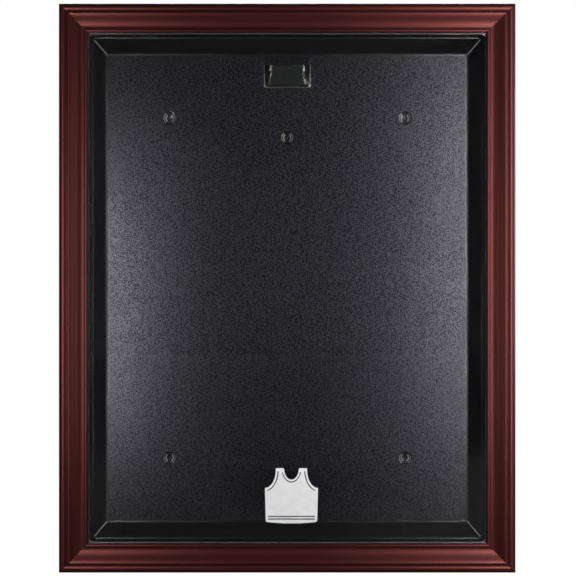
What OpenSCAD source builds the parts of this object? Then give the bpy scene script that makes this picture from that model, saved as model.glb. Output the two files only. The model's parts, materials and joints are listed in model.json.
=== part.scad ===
// Wall display case for a jersey: a mitred wood door with a clear panel, hinged to a moulded backing tray.
// X runs to the right, Y to the wall and Z up. The wall is the plane y = 0, and the origin lies on it at the
// centre of the four wall screws.

/* [Case] */
// Width over the wood frame
case_w = 858; // [700:1:1000]
// Height over the wood frame
case_h = 1069; // [900:1:1200]
// Depth from the wall to the crest of the moulding
case_d = 76; // [74:1:90]

/* [Wood moulding] */
// Width of each rail, seen from the front
rail_w = 55; // [50:0.5:56]
// Thickness of each rail at its crest
rail_t = 22; // [21:0.5:24]
// Width of the rabbet that holds the clear panel
rabbet_w = 9; // [8:0.5:10]
// Depth of the rabbet
rabbet_d = 9; // [9:0.5:10]

/* [Clear panel] */
// Thickness of the clear panel
pane_t = 3; // [2:0.5:3]
// Gap between the panel's edge and the rabbet wall
pane_gap = 1.5; // [1:0.5:2]
// Width of the emblem printed on the panel
emblem_w = 98; // [60:1:120]
// Distance of the emblem's centre to the right of the middle
emblem_x = 8; // [-20:1:20]
// Distance of the emblem's centre below the middle
emblem_drop = 391; // [300:1:400]

/* [Backing tray] */
// Wall thickness of the tray's rim
rim_t = 3; // [2.5:0.5:4]
// Depth of the tray's straight collar
collar_d = 19.5; // [18:0.5:24]
// Width of the ledge at the bottom of the collar
ledge_w = 3; // [2:0.5:4]
// How far the sloping walls lean in at the two sides
slope_in_x = 18.5; // [12:0.5:24]
// How far the sloping walls lean in at the top and bottom
slope_in_z = 21; // [12:0.5:24]
// Thickness of the back sheet
sheet_t = 2.5; // [2:0.5:3]
// Distance from the wall to the front of the back sheet
sheet_y = 9; // [8:0.5:12]

/* [Wall screw dimples] */
// Distance between the dimples, across
dimple_dx = 457; // [400:1:500]
// Distance between the dimples, up and down
dimple_dz = 660; // [600:1:700]
// Height of the fifth dimple above the middle
top_dimple_z = 292; // [200:1:320]
// Radius of each screw hole
screw_hole_r = 2.25; // [2:0.25:3]

/* [Hanging pocket] */
// Width of the hanging pocket at its base
pocket_w = 90; // [80:1:110]
// Height of the hanging pocket at its base
pocket_h = 43; // [40:1:60]
// Height of the pocket's centre above the middle
pocket_z = 411; // [400:1:420]
// How far the pocket stands out of the back sheet
pocket_out = 16; // [12:1:24]

/* [Hinges and catches] */
// Height of each hinge above and below the middle
hinge_z = 140; // [60:1:400]
// Length of each hinge
hinge_l = 50; // [46:1:60]
// Distance between the two screws of a leaf
leaf_screw_pitch = 32; // [28:1:36]
// Height of each magnetic catch above and below the middle
catch_z = 300; // [200:1:400]
// Opening angle drawn, in degrees
door_angle = 0; // [0:5:90]

/* [Hidden] */
$fn = 48;

mahogany = [0.29, 0.10, 0.09];
black_plastic = [0.07, 0.07, 0.08];
steel = [0.62, 0.62, 0.64];
black_steel = [0.12, 0.12, 0.13];
print_white = [0.93, 0.93, 0.93];

// The frame's back face, the rabbet floor and the two faces of the clear panel, as y values.
frame_y = -(case_d - rail_t);
rabbet_y = frame_y - rabbet_d;
pane_back_y = rabbet_y + pane_t;
sight_w = case_w - 2 * rail_w;
sight_h = case_h - 2 * rail_w;
opening_w = sight_w + 2 * rabbet_w;
opening_h = sight_h + 2 * rabbet_w;

// The tray's rim stands just behind the panel. Its outside hides behind the sight edge, and has nearly square
// corners so that no gap shows past them. The inside of its corners is rounded.
rim_y = pane_back_y + 0.5;
rim_over = 1.5;
tray_w = sight_w + 2 * rim_over;
tray_h = sight_h + 2 * rim_over;
collar_in_r = 8;
collar_out_r = 2;
ledge_y = rim_y + collar_d;
slope_top_w = tray_w - 2 * (rim_t + ledge_w);
slope_top_h = tray_h - 2 * (rim_t + ledge_w);
sheet_w = slope_top_w - 2 * slope_in_x;
sheet_h = slope_top_h - 2 * slope_in_z;

// How far each wall leans in for every millimetre of depth, and its thickness measured across the case.
lean_x = slope_in_x / (-sheet_y - ledge_y);
lean_z = slope_in_z / (-sheet_y - ledge_y);
side_t = sheet_t * sqrt(1 + lean_x * lean_x);
end_t = sheet_t * sqrt(1 + lean_z * lean_z);

// The strips that hold the panel: how wide, and how far they stay clear of what is beside them.
strip_w = 5.8;
strip_clear = 0.2;

// The printed emblem is a plain sleeveless jersey. This is its right half, from the neck round to the hem, in
// units of the emblem's width.
emblem_film = 0.2;
jersey_half = [
    [0.06, 0.31], [0.11, 0.38], [0.14, 0.54], [0.28, 0.54], [0.30, 0.38], [0.34, 0.26],
    [0.41, 0.18], [0.50, 0.14], [0.50, -0.48], [0.47, -0.53]
];

// Where the five wall screws go, as [x, z]. Each dimple has two steps, and its foot stands on the wall.
dimples = concat(
    [for (sx = [-1, 1], sz = [-1, 1]) [sx * dimple_dx / 2, sz * dimple_dz / 2]],
    [[0, top_dimple_z]]
);
dimple_outer_r = 11;
dimple_inner_r = 6.8;
dimple_wall = 1.8;
dimple_step_y = -sheet_y + 3.4;

// The hanging pocket is a wedge that is deepest at the top. Its face is smaller than its base: how far in it
// stands at the sides, above and below, and how far its lower edge stands out.
face_in_low = 8.5;
face_in_high = 13.5;
face_in_top = 3.5;
face_in_bottom = 3;
face_low_out = 5;
ramp_rise = 3.5;

// The hinge line: knuckles lie behind the frame's back face and beside the tray's collar.
knuckle_r = 2.5;
pin_r = 1.25;
pin_play = 0.05;
leaf_t = 1.5;
knuckle_gap = 0.3;
middle_knuckle = hinge_l * 0.36;
hinge_x = -(tray_w / 2 + knuckle_r + 0.3);
hinge_y = frame_y + knuckle_r + 0.3;
tray_leaf_w = 11.5;
door_leaf_w = 26;
tray_leaf_screw_y = hinge_y + 6;
door_leaf_screw_x = hinge_x - 16.5;
screw_head_r = 2.6;
screw_head_h = 1.3;
screw_r = 1.4;

// The catches: magnets sunk in the right stile, and steel plates on lugs of the tray.
magnet_r = 6;
magnet_h = 4;
catch_x = opening_w / 2 + 9;
lug_l = 30;
lug_t = 3;
plate_t = 1.2;
lug_y = frame_y + 0.3 + plate_t;
rivet_r = 1.5;

// The moulding's section, as [distance in from the outer edge, height above the frame's back face].
bead_r = 9.4;
bead_at = [9.4, rail_t - 12.5];
crest_u = 20.5;
swell_u = 16.6;
valley_u = rail_w - 9.5;
valley_v = rail_t - 8.6;
ogee_lean = 0.8;
inner_bead_r = 4.6;
inner_bead_at = [rail_w - 4, valley_v - 3.2];

function arc(centre, r, from, to, steps) =
    [for (i = [0:steps]) let (a = from + (to - from) * i / steps) centre + r * [cos(a), sin(a)]];

function ogee_v(u) = u < crest_u
    ? rail_t - 2.3 * pow((crest_u - u) / (crest_u - swell_u), 2)
    : valley_v + (rail_t - valley_v)
        * (0.5 + 0.5 * cos(180 * pow((u - crest_u) / (valley_u - crest_u), ogee_lean)));

moulding_section = concat(
    [[0, 0]],
    arc(bead_at, bead_r, 157, 52, 14),
    [[15.3, rail_t - 5.6], [16.4, rail_t - 5.6]],
    [for (i = [0:24]) let (u = swell_u + (valley_u - swell_u) * i / 24) [u, ogee_v(u)]],
    [[valley_u + 0.6, valley_v - 0.8], [valley_u + 1.6, valley_v - 0.8]],
    arc(inner_bead_at, inner_bead_r, 145, 42, 8),
    [
        [rail_w, inner_bead_at[1] + 2],
        [rail_w, rabbet_d],
        [rail_w - rabbet_w, rabbet_d],
        [rail_w - rabbet_w, 0]
    ]
);

// A flat plate with rounded corners, w wide and h high, between two y values.
module rounded_slab(w, h, r, y0, y1) {
    translate([0, y1, 0])
        rotate([90, 0, 0])
            linear_extrude(y1 - y0) {
                square([w - 2 * r, h], center = true);
                square([w, h - 2 * r], center = true);
                for (sx = [-1, 1], sz = [-1, 1])
                    translate([sx * (w / 2 - r), sz * (h / 2 - r)]) circle(r);
            }
}

// A block with flat sloping sides: w0 by h0 at y0 and w1 by h1 at y1.
module tapered_block(w0, h0, y0, w1, h1, y1) {
    polyhedron(
        points = [
            for (end = [[w0, h0, y0], [w1, h1, y1]], c = [[-1, -1], [1, -1], [1, 1], [-1, 1]])
                [c[0] * end[0] / 2, end[2], c[1] * end[1] / 2]
        ],
        faces = [[3, 2, 1, 0], [4, 5, 6, 7], [0, 1, 5, 4], [1, 2, 6, 5], [2, 3, 7, 6], [3, 0, 4, 7]]
    );
}

// A round bar along Y from y0 to y1.
module bar_y(r, y0, y1) {
    translate([0, y1, 0]) rotate([90, 0, 0]) cylinder(r = r, h = y1 - y0);
}

// A round bar along X from x0 to x1.
module bar_x(r, x0, x1) {
    translate([x0, 0, 0]) rotate([0, 90, 0]) cylinder(r = r, h = x1 - x0);
}

module box(low, high) {
    translate(low) cube(high - low);
}

// Turns what rides on the door about the hinge line.
module on_door() {
    translate([hinge_x, hinge_y, 0])
        rotate([0, 0, -door_angle])
            translate([-hinge_x, -hinge_y, 0]) children();
}

// One side of the frame, standing at x = -reach, cut at 45 degrees at both ends.
module frame_side(reach, length) {
    translate([-reach, frame_y, 0])
        intersection() {
            linear_extrude(length, center = true) polygon([for (p = moulding_section) [p[0], -p[1]]]);
            rotate([90, 0, 0])
                translate([0, 0, -1])
                    linear_extrude(rail_t + 2)
                        polygon([
                            [0, -length / 2], [rail_w, rail_w - length / 2],
                            [rail_w, length / 2 - rail_w], [0, length / 2]
                        ]);
        }
}

module left_stile() {
    color(mahogany) frame_side(case_w / 2, case_h);
}

module right_stile() {
    color(mahogany)
        difference() {
            rotate([0, 180, 0]) frame_side(case_w / 2, case_h);
            for (sz = [-1, 1])
                translate([catch_x, 0, sz * catch_z])
                    bar_y(magnet_r + 0.05, frame_y - magnet_h - 0.1, frame_y + 1);
        }
}

module top_rail() {
    color(mahogany) rotate([0, 90, 0]) frame_side(case_h / 2, case_w);
}

module bottom_rail() {
    color(mahogany) rotate([0, -90, 0]) frame_side(case_h / 2, case_w);
}

// A stamped steel V, driven across a mitre from the back. Its point looks along +X.
module v_nail() {
    leg = 6;
    gauge = 0.8;
    proud = 0.1;
    translate([0, frame_y + proud, 0])
        rotate([90, 0, 0])
            linear_extrude(7)
                polygon([
                    [leg / 2, 0], [-leg / 2, leg], [-leg / 2 - gauge, leg],
                    [leg / 2 - 2 * gauge, 0], [-leg / 2 - gauge, -leg], [-leg / 2, -leg]
                ]);
}

module corner_v_nails() {
    color(steel)
        for (sx = [-1, 1], sz = [-1, 1], u = [13, 31])
            translate([sx * (case_w / 2 - u), 0, sz * (case_h / 2 - u)])
                rotate([0, -atan2(sz, sx), 0]) v_nail();
}

module clear_panel() {
    color("white", 0.2)
        box(
            [-opening_w / 2 + pane_gap, rabbet_y, -opening_h / 2 + pane_gap],
            [opening_w / 2 - pane_gap, pane_back_y, opening_h / 2 - pane_gap]
        );
}

module printed_emblem() {
    color(print_white)
        translate([emblem_x, rabbet_y, -emblem_drop])
            rotate([90, 0, 0])
                linear_extrude(emblem_film)
                    scale(emblem_w)
                        polygon(concat(
                            jersey_half,
                            [for (i = [len(jersey_half) - 1:-1:0]) [-jersey_half[i][0], jersey_half[i][1]]]
                        ));
}

// The strip that holds the panel, in the rabbet of one side.
module glazing_strip(reach, length) {
    color(black_plastic)
        box(
            [-reach + strip_clear, pane_back_y, -length / 2 + strip_clear],
            [-reach + strip_w, frame_y - 0.5, length / 2 - strip_clear]
        );
}

module glazing_strip_left() {
    glazing_strip(opening_w / 2, opening_h);
}

module glazing_strip_right() {
    rotate([0, 180, 0]) glazing_strip(opening_w / 2, opening_h);
}

module glazing_strip_top() {
    rotate([0, 90, 0]) glazing_strip(opening_h / 2, opening_w - 2 * strip_w);
}

module glazing_strip_bottom() {
    rotate([0, -90, 0]) glazing_strip(opening_h / 2, opening_w - 2 * strip_w);
}

// A row of headed brads through a strip and into its rail.
module brad_row(reach, length, count) {
    brad_r = 0.6;
    brad_head_r = 1.1;
    brad_l = 18;
    for (i = [0:count - 1])
        translate([-reach + strip_w, frame_y - 3, length * (i / (count - 1) - 0.5)]) {
            bar_x(brad_r, -brad_l, 0.2);
            bar_x(brad_head_r, 0, 0.5);
        }
}

module glazing_brads() {
    color(steel) {
        for (turn = [0, 180]) rotate([0, turn, 0]) brad_row(opening_w / 2, 0.88 * opening_h, 6);
        for (turn = [-90, 90]) rotate([0, turn, 0]) brad_row(opening_h / 2, 0.84 * opening_w, 5);
    }
}

// The solid behind a dimple, which stands on the wall.
module dimple_boss() {
    bar_y(dimple_outer_r + dimple_wall, -sheet_y + 0.5, dimple_step_y + sheet_t);
    bar_y(dimple_inner_r + dimple_wall, -sheet_y + 0.5, 0);
}

module dimple_recess() {
    bar_y(dimple_outer_r, -sheet_y - 1, dimple_step_y);
    bar_y(dimple_inner_r, -sheet_y - 1, -sheet_t);
    bar_y(screw_hole_r, -sheet_y, 1);
}

// The hanging pocket stands out of the back sheet. shell is how much smaller the hollow is than the outside.
module pocket_block(shell) {
    top = pocket_z + pocket_h / 2 - shell;
    bottom = pocket_z - pocket_h / 2 + shell;
    half = pocket_w / 2 - shell;
    base_y = -sheet_y + 1 + (shell > 0 ? 2 : 0);
    face_high_y = -sheet_y - pocket_out + shell;
    face_low_y = -sheet_y - face_low_out + shell;
    polyhedron(
        points = [
            [-half, base_y, bottom], [half, base_y, bottom], [half, base_y, top], [-half, base_y, top],
            [-half + face_in_low, face_low_y, bottom + face_in_bottom],
            [half - face_in_low, face_low_y, bottom + face_in_bottom],
            [half - face_in_high, face_high_y, top - face_in_top],
            [-half + face_in_high, face_high_y, top - face_in_top]
        ],
        faces = [[0, 1, 2, 3], [7, 6, 5, 4], [4, 5, 1, 0], [5, 6, 2, 1], [6, 7, 3, 2], [7, 4, 0, 3]]
    );
}

// A shallow ramp joins the pocket to the tray's top wall.
module pocket_ramp() {
    top = sheet_h / 2 + 0.5;
    foot = pocket_z + pocket_h / 2 - 2;
    translate([-pocket_w / 2 + 2, 0, 0])
        rotate([90, 0, 90])
            linear_extrude(pocket_w - 4)
                polygon([
                    [-sheet_y + 1, foot], [-sheet_y - ramp_rise, foot],
                    [-sheet_y - 0.1, top], [-sheet_y + 1, top]
                ]);
}

// A lug beside the collar that carries a strike plate.
module catch_lug() {
    reach = catch_x + magnet_r + 3;
    box([tray_w / 2 - 1, lug_y, -lug_l / 2], [reach, lug_y + lug_t, lug_l / 2]);
    for (z = [-lug_l / 2, lug_l / 2 - 2.5])
        translate([0, 0, z])
            linear_extrude(2.5)
                polygon([
                    [tray_w / 2 - 1, lug_y + 1], [reach - 3, lug_y + 1],
                    [reach - 3, lug_y + lug_t + 1], [tray_w / 2 - 1, ledge_y + 2]
                ]);
}

module backing_tray() {
    color(black_plastic)
        difference() {
            union() {
                rounded_slab(tray_w, tray_h, collar_out_r, rim_y, ledge_y + sheet_t);
                tapered_block(
                    slope_top_w + 2 * side_t, slope_top_h + 2 * end_t, ledge_y,
                    sheet_w + 2 * (side_t - lean_x * sheet_t), sheet_h + 2 * (end_t - lean_z * sheet_t),
                    -sheet_y + sheet_t
                );
                for (p = dimples) translate([p[0], 0, p[1]]) dimple_boss();
                for (sz = [-1, 1]) translate([0, 0, sz * catch_z]) catch_lug();
            }
            difference() {
                union() {
                    rounded_slab(
                        tray_w - 2 * rim_t, tray_h - 2 * rim_t, collar_in_r, rim_y - 1, ledge_y
                    );
                    tapered_block(
                        slope_top_w + 2 * lean_x, slope_top_h + 2 * lean_z, ledge_y - 1,
                        sheet_w, sheet_h, -sheet_y
                    );
                }
                pocket_block(0);
                pocket_ramp();
            }
            pocket_block(sheet_t);
            for (p = dimples) translate([p[0], 0, p[1]]) dimple_recess();
            for (side = [-1, 1], sz = [-1, 1])
                translate([0, tray_leaf_screw_y, side * hinge_z + sz * leaf_screw_pitch / 2])
                    bar_x(screw_r + 0.05, -tray_w / 2 - 1, -tray_w / 2 + rim_t + 1);
            for (sz = [-1, 1])
                translate([catch_x, 0, sz * catch_z]) bar_y(rivet_r + 0.05, lug_y - 1, lug_y + lug_t + 1);
        }
}

// The part of a hinge's barrel between two heights, bored for the pin.
module knuckle(z0, z1) {
    translate([hinge_x, hinge_y, z0]) cylinder(r = knuckle_r, h = z1 - z0);
}

module pin_bore(play) {
    translate([hinge_x, hinge_y, -hinge_l]) cylinder(r = pin_r + play, h = 2 * hinge_l);
}

// The leaf on the tray, with the two outer knuckles, which grip the pin. side is 1 for the upper hinge.
module tray_leaf(side) {
    inner = middle_knuckle / 2 + knuckle_gap;
    color(black_steel)
        translate([0, 0, side * hinge_z])
            difference() {
                union() {
                    box(
                        [-tray_w / 2 - leaf_t, hinge_y + knuckle_r + 0.4, -hinge_l / 2],
                        [-tray_w / 2, hinge_y + tray_leaf_w, hinge_l / 2]
                    );
                    for (span = [[-hinge_l / 2, -inner], [inner, hinge_l / 2]]) {
                        knuckle(span[0], span[1]);
                        box(
                            [-tray_w / 2 - leaf_t, hinge_y, span[0]],
                            [-tray_w / 2, hinge_y + knuckle_r + 1, span[1]]
                        );
                    }
                }
                pin_bore(0);
                for (sz = [-1, 1])
                    translate([0, tray_leaf_screw_y, sz * leaf_screw_pitch / 2])
                        bar_x(screw_r + 0.2, -tray_w / 2 - 5, -tray_w / 2 + 1);
            }
}

// The leaf on the back of the left stile, with the middle knuckle, which turns on the pin.
module door_leaf(side) {
    half = middle_knuckle / 2;
    color(black_steel)
        translate([0, 0, side * hinge_z])
            difference() {
                union() {
                    box(
                        [hinge_x - door_leaf_w, frame_y, -hinge_l / 2],
                        [hinge_x - knuckle_r - 0.4, frame_y + leaf_t, hinge_l / 2]
                    );
                    knuckle(-half, half);
                    box([hinge_x - knuckle_r - 1, frame_y, -half], [hinge_x, frame_y + leaf_t, half]);
                }
                pin_bore(pin_play);
                for (sz = [-1, 1])
                    translate([door_leaf_screw_x, 0, sz * leaf_screw_pitch / 2])
                        bar_y(screw_r + 0.2, frame_y - 1, frame_y + leaf_t + 1);
            }
}

module hinge_pin(side) {
    color(steel)
        translate([hinge_x, hinge_y, side * hinge_z - hinge_l / 2 - 0.5])
            cylinder(r = pin_r, h = hinge_l + 1);
}

module tray_leaf_screws() {
    outside = -tray_w / 2 - leaf_t;
    color(black_steel)
        for (side = [-1, 1], sz = [-1, 1])
            translate([0, tray_leaf_screw_y, side * hinge_z + sz * leaf_screw_pitch / 2]) {
                bar_x(screw_head_r, outside - screw_head_h, outside);
                bar_x(screw_r, outside - 0.5, -tray_w / 2 + rim_t + 1.8);
            }
}

module door_leaf_screws() {
    outside = frame_y + leaf_t;
    color(steel)
        for (side = [-1, 1], sz = [-1, 1])
            translate([door_leaf_screw_x, 0, side * hinge_z + sz * leaf_screw_pitch / 2]) {
                bar_y(screw_head_r, outside, outside + screw_head_h);
                bar_y(screw_r, frame_y - 10, outside + 0.5);
            }
}

module catch_magnet(side) {
    color(steel)
        translate([catch_x, 0, side * catch_z]) bar_y(magnet_r, frame_y - magnet_h, frame_y - 0.05);
}

module strike_plate(side) {
    color(steel)
        translate([catch_x, 0, side * catch_z])
            difference() {
                box([-8, lug_y - plate_t, -10], [8, lug_y, 10]);
                bar_y(rivet_r + 0.05, lug_y - plate_t - 1, lug_y + 1);
            }
}

module strike_rivets() {
    color(steel)
        for (sz = [-1, 1])
            translate([catch_x, 0, sz * catch_z]) {
                bar_y(rivet_r, lug_y - plate_t, lug_y + lug_t + 0.5);
                bar_y(rivet_r + 1.2, lug_y + lug_t, lug_y + lug_t + 0.9);
            }
}

on_door() left_stile();
on_door() right_stile();
on_door() top_rail();
on_door() bottom_rail();
on_door() corner_v_nails();
on_door() clear_panel();
on_door() printed_emblem();
on_door() glazing_strip_left();
on_door() glazing_strip_right();
on_door() glazing_strip_top();
on_door() glazing_strip_bottom();
on_door() glazing_brads();
backing_tray();
tray_leaf(1);  // tray_leaf_upper
tray_leaf(-1);  // tray_leaf_lower
on_door() door_leaf(1);  // door_leaf_upper
on_door() door_leaf(-1);  // door_leaf_lower
hinge_pin(1);  // hinge_pin_upper
hinge_pin(-1);  // hinge_pin_lower
tray_leaf_screws();
on_door() door_leaf_screws();
on_door() catch_magnet(1);  // catch_magnet_upper
on_door() catch_magnet(-1);  // catch_magnet_lower
strike_plate(1);  // strike_plate_upper
strike_plate(-1);  // strike_plate_lower
strike_rivets();
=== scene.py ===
# %% [markdown]
# # A hinged wall case for a jersey
# The real object is a shallow black plastic tray that is screwed to a wall, with a glazed wood frame hung
# on its left side like a door. Everything here is in metres: X runs to the right, Y to the wall and Z up.
# The design fixes every size and place, so this file starts by loading it, and then gives each piece its
# looks.

# %% Load the frame
import json
import math

import bmesh
import bpy
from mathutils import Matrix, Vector


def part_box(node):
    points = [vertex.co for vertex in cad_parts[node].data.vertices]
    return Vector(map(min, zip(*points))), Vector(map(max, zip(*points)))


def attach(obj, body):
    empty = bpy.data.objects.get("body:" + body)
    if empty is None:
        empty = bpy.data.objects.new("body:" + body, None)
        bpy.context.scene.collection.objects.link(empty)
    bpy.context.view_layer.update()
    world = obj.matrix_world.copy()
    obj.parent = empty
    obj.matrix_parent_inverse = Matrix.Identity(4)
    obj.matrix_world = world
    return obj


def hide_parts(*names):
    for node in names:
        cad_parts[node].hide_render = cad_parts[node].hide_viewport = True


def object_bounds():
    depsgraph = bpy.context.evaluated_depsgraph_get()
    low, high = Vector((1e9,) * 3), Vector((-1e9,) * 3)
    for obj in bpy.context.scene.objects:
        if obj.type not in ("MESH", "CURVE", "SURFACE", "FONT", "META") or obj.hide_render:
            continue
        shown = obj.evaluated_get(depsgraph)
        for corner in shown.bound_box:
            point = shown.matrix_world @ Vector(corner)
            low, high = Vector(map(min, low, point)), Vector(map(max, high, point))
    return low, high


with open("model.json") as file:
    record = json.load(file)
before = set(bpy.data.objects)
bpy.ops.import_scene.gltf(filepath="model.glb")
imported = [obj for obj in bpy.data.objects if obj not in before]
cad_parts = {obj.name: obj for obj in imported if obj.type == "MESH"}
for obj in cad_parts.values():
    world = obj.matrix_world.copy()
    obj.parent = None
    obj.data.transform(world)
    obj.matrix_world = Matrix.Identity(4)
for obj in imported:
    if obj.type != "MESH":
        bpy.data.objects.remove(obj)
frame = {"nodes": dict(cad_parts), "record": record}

cad_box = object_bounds()
MM = 0.001

# %% [markdown]
# ## Sizes that everything shares
# These are read from the loaded nodes, so that a piece made here lands where the design has it. The front
# of the door is the low end of Y, because Y points to the wall.

# %% Read the main sizes
stile_low, stile_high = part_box("left_stile")
rail_low, rail_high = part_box("top_rail")
pane_low, pane_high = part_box("clear_panel")
tray_low, tray_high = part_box("backing_tray")

CASE_HALF_W = -stile_low.x
CASE_HALF_H = rail_high.z
RAIL_W = stile_high.x - stile_low.x
RAIL_T = stile_high.y - stile_low.y
FRAME_Y = stile_high.y
PANE_FRONT_Y = pane_low.y
RABBET_W = 9 * MM
RABBET_D = FRAME_Y - PANE_FRONT_Y
print(f"case {2 * CASE_HALF_W:.3f} by {2 * CASE_HALF_H:.3f}, rails {RAIL_W:.3f} by {RAIL_T:.3f}")

# %% [markdown]
# ## Small tools for meshes
# `bpy` can make a mesh from a `bmesh`, which is a mesh that's easy to edit. `settle` turns one into an
# object at the origin, smooths it, and keeps the edges sharp that turn by more than a given angle. `place`
# then says which body a finished piece moves with and which nodes of the design it stands for, and hides
# those nodes.

# %% Turn a bmesh or a mesh into an object
def shade(mesh, sharp_degrees):
    for face in mesh.polygons:
        face.use_smooth = True
    mesh.set_sharp_from_angle(angle=math.radians(sharp_degrees))


def settle(name, shape, materials, sharp_degrees=35):
    mesh = bpy.data.meshes.new(name)
    shape.to_mesh(mesh)
    shape.free()
    shade(mesh, sharp_degrees)
    for material in materials:
        mesh.materials.append(material)
    thing = bpy.data.objects.new(name, mesh)
    bpy.context.scene.collection.objects.link(thing)
    return thing


def place(thing, body, slot, *nodes):
    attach(thing, body)
    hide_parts(*nodes)
    print(f"{thing.name}: {len(thing.data.polygons)} faces on the {body}")

# %% Apply an object's modifiers for good
def freeze(thing):
    seen = thing.evaluated_get(bpy.context.evaluated_depsgraph_get())
    mesh = bpy.data.meshes.new_from_object(seen)
    old = thing.data
    thing.modifiers.clear()
    thing.data = mesh
    bpy.data.meshes.remove(old)
    mesh.name = thing.name


def discard(thing):
    bpy.data.objects.remove(thing)

# %% [markdown]
# A softened edge must not bend the light on the flat beside it. Weighting each normal by the area of its
# faces keeps the large flats perfectly flat, and lets only the narrow bevels curve.

# %% Keep flats flat
def level(thing):
    modifier = thing.modifiers.new("weighted normals", "WEIGHTED_NORMAL")
    modifier.keep_sharp = True
    modifier.weight = 100
    freeze(thing)
    return thing

# %% [markdown]
# ## Small tools for node trees
# Geometry Nodes and shader groups are both node trees with named inputs. Building one by hand takes the
# same three steps each time: make its sockets, add nodes, and link them. `add` makes a node and sets its
# values by socket name. `grow` puts a geometry tree on an object as a modifier, sets its inputs by their
# identifiers, and keeps the result as a plain mesh.

# %% Build node trees
def add(tree, kind, values=None, **settings):
    node = tree.nodes.new(kind)
    for key, value in settings.items():
        setattr(node, key, value)
    for socket, value in (values or {}).items():
        if isinstance(value, bpy.types.NodeSocket):
            tree.links.new(value, node.inputs[socket])
        else:
            node.inputs[socket].default_value = value
    return node


def new_tree(name, kind, inputs, outputs):
    tree = bpy.data.node_groups.new(name, kind)
    for side, sockets in (("INPUT", inputs), ("OUTPUT", outputs)):
        for label, socket_type in sockets:
            tree.interface.new_socket(name=label, in_out=side, socket_type=socket_type)
    return tree, tree.nodes.new("NodeGroupInput"), tree.nodes.new("NodeGroupOutput")


def grow(thing, tree, settings):
    names = {item.name: item.identifier for item in tree.interface.items_tree if item.in_out == "INPUT"}
    modifier = thing.modifiers.new(tree.name, "NODES")
    modifier.node_group = tree
    for label, value in settings.items():
        modifier[names[label]] = value
    freeze(thing)

# %% [markdown]
# ## Shared surface effects
# Nothing handled is evenly glossy. A `Handling marks` group gives a roughness that drifts a little from
# place to place, with finer scuffs over it. A `Moulded grain` group gives the leathery pebble that is
# etched into the mould of the tray, as a height for a Bump node and a mottle for gloss. Both read the
# piece's own coordinates in metres, so a scale of 400 means 400 cells a metre.

# %% The handling marks group
def handling_marks():
    tree, start, end = new_tree(
        "Handling marks", "ShaderNodeTree",
        [("Scale", "NodeSocketFloat"), ("Roughness", "NodeSocketFloat"), ("Amount", "NodeSocketFloat")],
        [("Roughness", "NodeSocketFloat"), ("Mask", "NodeSocketFloat")],
    )
    where = add(tree, "ShaderNodeTexCoord").outputs["Object"]
    broad = add(tree, "ShaderNodeTexNoise", {"Vector": where, "Scale": start.outputs["Scale"], "Detail": 3.0})
    finer_scale = add(tree, "ShaderNodeMath", {0: start.outputs["Scale"], 1: 9.0}, operation="MULTIPLY")
    fine = add(tree, "ShaderNodeTexNoise", {"Vector": where, "Scale": finer_scale.outputs[0], "Detail": 2.0})
    both = add(tree, "ShaderNodeMath", {0: broad.outputs["Fac"], 1: fine.outputs["Fac"]}, operation="ADD")
    centred = add(tree, "ShaderNodeMath", {0: both.outputs[0], 1: 1.0}, operation="SUBTRACT")
    drift = add(
        tree, "ShaderNodeMath",
        {0: centred.outputs[0], 1: start.outputs["Amount"], 2: start.outputs["Roughness"]},
        operation="MULTIPLY_ADD",
    )
    tree.links.new(drift.outputs[0], end.inputs["Roughness"])
    tree.links.new(broad.outputs["Fac"], end.inputs["Mask"])
    return tree


HANDLING_MARKS = handling_marks()

# %% The moulded grain group
def moulded_grain():
    tree, start, end = new_tree(
        "Moulded grain", "ShaderNodeTree",
        [("Cells a metre", "NodeSocketFloat"), ("Mottle scale", "NodeSocketFloat")],
        [("Height", "NodeSocketFloat"), ("Mottle", "NodeSocketFloat")],
    )
    where = add(tree, "ShaderNodeTexCoord").outputs["Object"]
    warp = add(tree, "ShaderNodeTexNoise", {"Vector": where, "Scale": 260.0, "Detail": 1.0})
    pushed = add(
        tree, "ShaderNodeVectorMath",
        {0: warp.outputs["Color"], 1: (0.0018, 0.0018, 0.0018), 2: where},
        operation="MULTIPLY_ADD",
    )
    pebble = add(
        tree, "ShaderNodeTexVoronoi",
        {"Vector": pushed.outputs[0], "Scale": start.outputs["Cells a metre"], "Smoothness": 0.6},
        feature="SMOOTH_F1",
    )
    mottle = add(
        tree, "ShaderNodeTexNoise",
        {"Vector": where, "Scale": start.outputs["Mottle scale"], "Detail": 2.0, "Roughness": 0.6},
    )
    raised = add(
        tree, "ShaderNodeMath",
        {0: mottle.outputs["Fac"], 1: 0.9, 2: pebble.outputs["Distance"]},
        operation="MULTIPLY_ADD",
    )
    tree.links.new(raised.outputs[0], end.inputs["Height"])
    tree.links.new(mottle.outputs["Fac"], end.inputs["Mottle"])
    return tree


MOULDED_GRAIN = moulded_grain()
print("shader groups:", HANDLING_MARKS.name, "and", MOULDED_GRAIN.name)

# %% [markdown]
# ## Materials
# `shader` starts a material with one Principled node and sets what is the same all over it. The effects
# that change over the surface are then linked into it.

# %% Start a material
def shader(name, colour, **values):
    material = bpy.data.materials.new(name)
    material.use_nodes = True
    tree = material.node_tree
    surface = tree.nodes["Principled BSDF"]
    surface.inputs["Base Color"].default_value = (*colour, 1.0)
    for label, value in values.items():
        surface.inputs[label.replace("_", " ")].default_value = value
    return material, tree, surface


def group(tree, shared, **values):
    node = tree.nodes.new("ShaderNodeGroup")
    node.node_tree = shared
    for label, value in values.items():
        node.inputs[label.replace("_", " ")].default_value = value
    return node


def bump(tree, surface, height, distance, strength=1.0):
    raised = add(tree, "ShaderNodeBump", {"Height": height, "Distance": distance, "Strength": strength})
    tree.links.new(raised.outputs["Normal"], surface.inputs["Normal"])


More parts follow.
